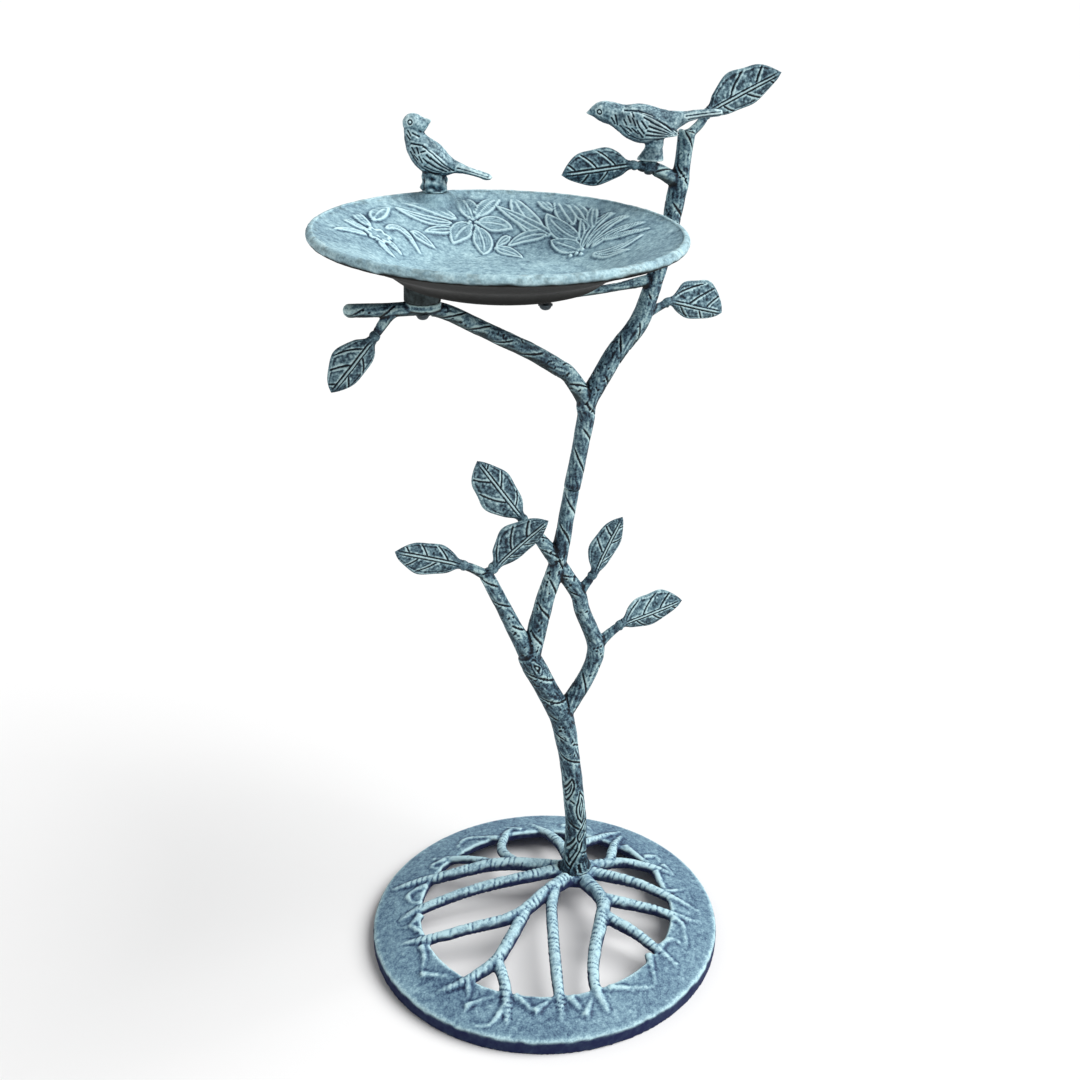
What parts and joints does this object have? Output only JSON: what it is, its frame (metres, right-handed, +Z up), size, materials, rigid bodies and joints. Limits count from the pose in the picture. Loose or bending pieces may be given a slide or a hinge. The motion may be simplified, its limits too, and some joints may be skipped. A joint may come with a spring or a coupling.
{
  "type": "bird bath",
  "caption": "Cast garden bird bath: pierced base of roots, a forked leafy tree, a shallow bowl with a flower relief, and perched birds that swivel on their screws.",
  "frame": {"origin": "centre of the round base's underside", "axes": "+Z up; +X to the right along the flat plane of the tree castings; +Y from the bowl's middle towards the tree, away from the viewer"},
  "size_m": [0.3966, 0.33, 0.7974],
  "materials": {
    "base_patina": "cast, blue-green patina over dark recesses",
    "tree_patina": "cast bark, blue-green patina over dark recesses",
    "leaf_patina": "cast, blue-green patina over dark recesses",
    "bowl_patina": "cast, pale blue-grey patina, brown-black below",
    "bird_patina": "cast, blue-green patina over dark recesses",
    "steel": "zinc plated"
  },
  "bodies": {
    "stand": {"root_base": "base_patina", "lower_tree": "tree_patina", "upper_tree": "tree_patina", "bowl": "bowl_patina", "low_left_leaf": "leaf_patina", "front_leaf": "leaf_patina", "cross_tip_leaf": "leaf_patina", "upright_leaf": "leaf_patina", "low_right_leaf": "leaf_patina", "arm_leaf": "leaf_patina", "stem_leaf": "leaf_patina", "perch_leaf": "leaf_patina", "crown_leaf": "leaf_patina", "base_bolt": "steel", "base_washer": "steel", "stem_stud": "steel", "bowl_screws": "steel", "bowl_washers": "steel", "rim_bird_screw": "steel", "rim_bird_washer": "steel", "perch_bird_screw": "steel"},
    "rim_bird_body": {"rim_bird": "bird_patina"},
    "perch_bird_body": {"perch_bird": "bird_patina"}
  },
  "joints": [
    {"name": "rim_bird_swivel", "type": "hinge", "parent": "stand", "child": "rim_bird_body", "pos_m": [-0.06009, 0.13249, 0.69], "axis": [0, 0, 1], "range_deg": [-90, 90]},
    {"name": "perch_bird_swivel", "type": "hinge", "parent": "stand", "child": "perch_bird_body", "pos_m": [0.09, 0.0365, 0.725], "axis": [0, 0, 1], "range_deg": [-90, 8]}
  ]
}
